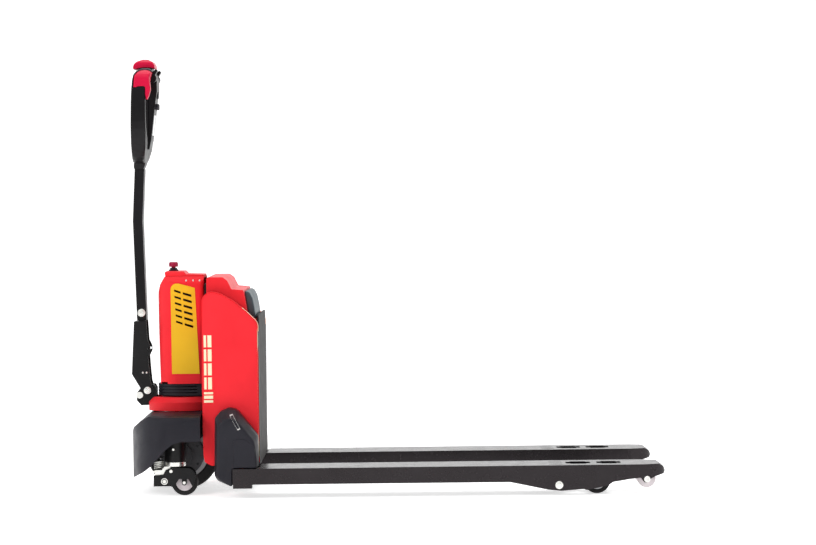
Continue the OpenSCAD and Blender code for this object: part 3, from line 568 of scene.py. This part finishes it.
CLAMP_X, CLAMP_Z = -117.5, 516                        # bolt that clamps the tiller's tube in its base
CHEEK_Y, TUBE_Y = 38, 26                              # outer sides of the tiller's base and of its tube
FORK_HALF_W = 80.2                                    # half a fork's width, up to its washers
ARM_FACE = 29                                         # outer side of a caster arm's plate, from its middle


def cross_pin(radius, half_w, place):
    return lathe("pin", [(0, -half_w), (radius, -half_w), (radius, half_w), (0, half_w)], place)


def tiller_fixings():
    """Pivot pin, clamp bolt and the base's small screws."""
    pins = [cross_pin(8, CHEEK_Y, on_joint("tiller_tilt")), cross_pin(5, TUBE_Y, at(CLAMP_X, 0, CLAMP_Z))]
    for _, s in SIDES:
        pins += [hex_bolt("bolt", on_joint("tiller_tilt", s * CHEEK_Y), s, 8.2, 3.4, 10.5, 2.4),
                 hex_bolt("bolt", at(CLAMP_X, s * TUBE_Y, CLAMP_Z), s, 8.6, 4.2, 11.5, 1.8)]
        pins += [socket_screw("screw", at(x, s * CHEEK_Y, 342), s, 2.8, 1.6, 1.4) for x in (-115, -104)]
    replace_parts(dress(joined("tiller_fixings", *pins), "tiller", "zinc"), "tiller_bolts")


def fork_fixings():
    """The load wheel yokes' pins and the entry rollers' axles, with their heads on the outer sides."""
    pins = []
    for side, s in SIDES:
        yoke, entry = "yoke_" + side, "entry_roll_" + side
        outside = s * (FORK_Y + FORK_HALF_W)
        pins += [cross_pin(10, FORK_HALF_W, on_joint(yoke)), cross_pin(6, FORK_HALF_W, on_joint(entry)),
                 hex_bolt("bolt", on_joint(yoke, outside), s, 8.5, 2.9, 11, 1.8),
                 socket_screw("screw", on_joint(entry, outside), s, 9.0, 3.6, 4.0)]
    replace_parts(dress(joined("fork_fixings", *pins), "lift_frame", "zinc"), "fork_bolts")


def caster_fixings(side, s):
    """Pivot bolt, rivet and axle screw on both faces of a caster's arm."""
    heads = []
    for face in (-1, 1):
        y = s * CASTER_Y + face * ARM_FACE
        heads += [hex_bolt("bolt", on_joint("caster_spring_" + side, y), face, 6.2, 2.0, 9.6, 2.6),
                  lathe("rivet", [(0, 0), (5.2, 0), (5.2, 2.4), (4.2, 3.3), (0, 3.3)], at(-21.5, y, 71), face),
                  socket_screw("screw", on_joint("caster_roll_" + side, y + face * 3), face, 4.6, 1.2, 2.2)]
    dress(joined("caster_fixings_" + side, *heads), "caster_arm_" + side, "zinc")


def chassis_screws(side, s):
    """Three screws on the front cover's shoulder and one in the caster's post."""
    screws = [socket_screw("screw", at(x, s * 78.6, 610), s, 2.6, 2.6, 1.3) for x in (18, 38, 57)]
    screws.append(socket_screw("screw", at(-14, s * 235.3, 133), s, 3.6, 2.4, 1.7))
    dress(joined("chassis_screws_" + side, *screws), "chassis", "zinc")


tiller_fixings()
fork_fixings()
for side, s in SIDES:
    caster_fixings(side, s)
    chassis_screws(side, s)


# ---------- casters and wheels ----------

SPRING_X, SEAT_Z = -58, 72                            # a caster spring's axis and the top of its seat
SPRING_OUT = 15.8                                     # just over the spring's outer radius


def open_yoke(node):
    """Takes the stacked rings off a caster yoke's rounded copy, to make room for a wound spring."""
    obj = made[node]
    lo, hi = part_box(node)
    spring = Vector((at(SPRING_X, 0, 0).x, (lo.y + hi.y) / 2))
    bm = bmesh.new()
    bm.from_mesh(obj.data)
    rings = [f for f in bm.faces
             if all(v.co.z > (SEAT_Z + 1.1) * MM and (v.co.xy - spring).length < SPRING_OUT * MM for v in f.verts)
             and f.calc_center_median().z > (SEAT_Z + 1.5) * MM]
    bmesh.ops.delete(bm, geom=rings, context="FACES")
    rim = [e for e in bm.edges if e.is_boundary]
    bmesh.ops.bridge_loops(bm, edges=rim)
    bm.to_mesh(obj.data)
    bm.free()


def wheel(name, place, radius, hub_r, half_w, bore, hub_slot="nylon"):
    """A tyre with worn shoulders, which stands for the node of its name, and a ribbed hub disc."""
    w = half_w
    shoulder = [(hub_r, -w + 3), (hub_r + 2, -w + 1.5), (radius - 3.5, -w + 1.2), (radius - 1, -w + 2.6),
                (radius, -w + 5), (radius, -1.2)]
    rings = shoulder + [(radius - 0.5, 0)] + [(r, -y) for r, y in reversed(shoulder)]
    tyre = lathe(name + "_tread", rings, place, segments=72)
    dress(tyre, name, "tyre_black")
    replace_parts(tyre, name)
    disc = [(hub_r, w - 6), (hub_r, w - 2.5), (hub_r - 1.2, w - 1.6), (hub_r - 3.2, w - 1.6), (hub_r - 4, w - 3),
            (bore + 6.5, w - 3.4), (bore + 5.5, w), (bore + 0.8, w), (bore, w - 0.8), (bore, w - 6)]
    hub = [lathe("face", disc, place, s, 72) for s in (-1, 1)]
    dress(joined(name + "_hub", *hub), name, hub_slot)


for side, s in SIDES:
    open_yoke("caster_yoke_" + side)
    dress(coil("caster_spring_" + side, at(SPRING_X, s * CASTER_Y, 0), 12.2, 2.7, 4.6, SEAT_Z + 4.2, 101.5),
          "caster_swivel_" + side, "zinc")
    wheel("caster_wheel_" + side, on_joint("caster_roll_" + side), 37.5, 24.4, 17, 7.3)
    wheel("load_wheel_" + side, on_joint("load_roll_" + side), 38, 26, 36, 8.3, "cast_iron_hub")


# ---------- studio ----------

def backdrop():
    """A pale floor that sweeps up into a wall a long way off, so that every side can be looked at."""
    half_w, front, back, rise, height = 24.0, -20.0, 17.0, 3.0, 14.0
    curve = [(front, 0.0), (back - rise, 0.0)]
    curve += [(back - rise + rise * math.sin(a), rise - rise * math.cos(a))
              for a in (math.radians(7.5 * i) for i in range(1, 13))]
    curve.append((back, height))
    verts = [(x, y, z) for y, z in curve for x in (-half_w, half_w)]
    faces = [(2 * i, 2 * i + 1, 2 * i + 3, 2 * i + 2) for i in range(len(curve) - 1)]
    obj = mesh_object("backdrop", verts, faces)
    for polygon in obj.data.polygons:
        polygon.use_smooth = True
    paper = finish_material("paper_backdrop", (0.90, 0.90, 0.90), (0.6, 0.7), 0.004, 200, 0.00001)
    shader = paper.node_tree.nodes["Principled BSDF"]
    shader.inputs["Emission Color"].default_value = (1, 1, 1, 1)
    shader.inputs["Emission Strength"].default_value = 0.66
    obj.data.materials.append(paper)


def area_light(name, place, aim, size, power):
    data = bpy.data.lights.new(name, "AREA")
    data.shape = "RECTANGLE"
    data.size, data.size_y = size
    data.energy = power
    obj = link(bpy.data.objects.new(name, data))
    obj.location = place
    obj.rotation_euler = (Vector(aim) - Vector(place)).to_track_quat("-Z", "Y").to_euler()


def studio():
    backdrop()
    world = bpy.data.worlds.new("studio")
    world.use_nodes = True
    background = world.node_tree.nodes["Background"]
    background.inputs["Color"].default_value = (1, 1, 1, 1)
    background.inputs["Strength"].default_value = 0.40
    bpy.context.scene.world = world
    area_light("key", (-4.2, -4.0, 3.6), (-0.3, 0, 0.4), (2.2, 2.2), 150)
    area_light("fill", (4.0, -3.5, 3.0), (0.0, 0, 0.3), (2.5, 2.5), 40)
    area_light("top", (0.0, 0.3, 4.5), (0, 0, 0), (4, 3), 125)


def camera():
    data = bpy.data.cameras.new("camera")
    data.sensor_width = 36
    data.lens = 135.8
    data.clip_end = 60
    obj = link(bpy.data.objects.new("camera", data))
    down, roll = math.radians(1.55), math.radians(-0.663)
    obj.matrix_world = (Matrix.Translation((cad_hi.x - 0.7216, -9.0, 0.8676))
                        @ Matrix.Rotation(math.pi / 2 - down, 4, "X") @ Matrix.Rotation(roll, 4, "Z"))
    bpy.context.scene.camera = obj


studio()
camera()
bpy.context.scene.view_settings.view_transform = "Standard"
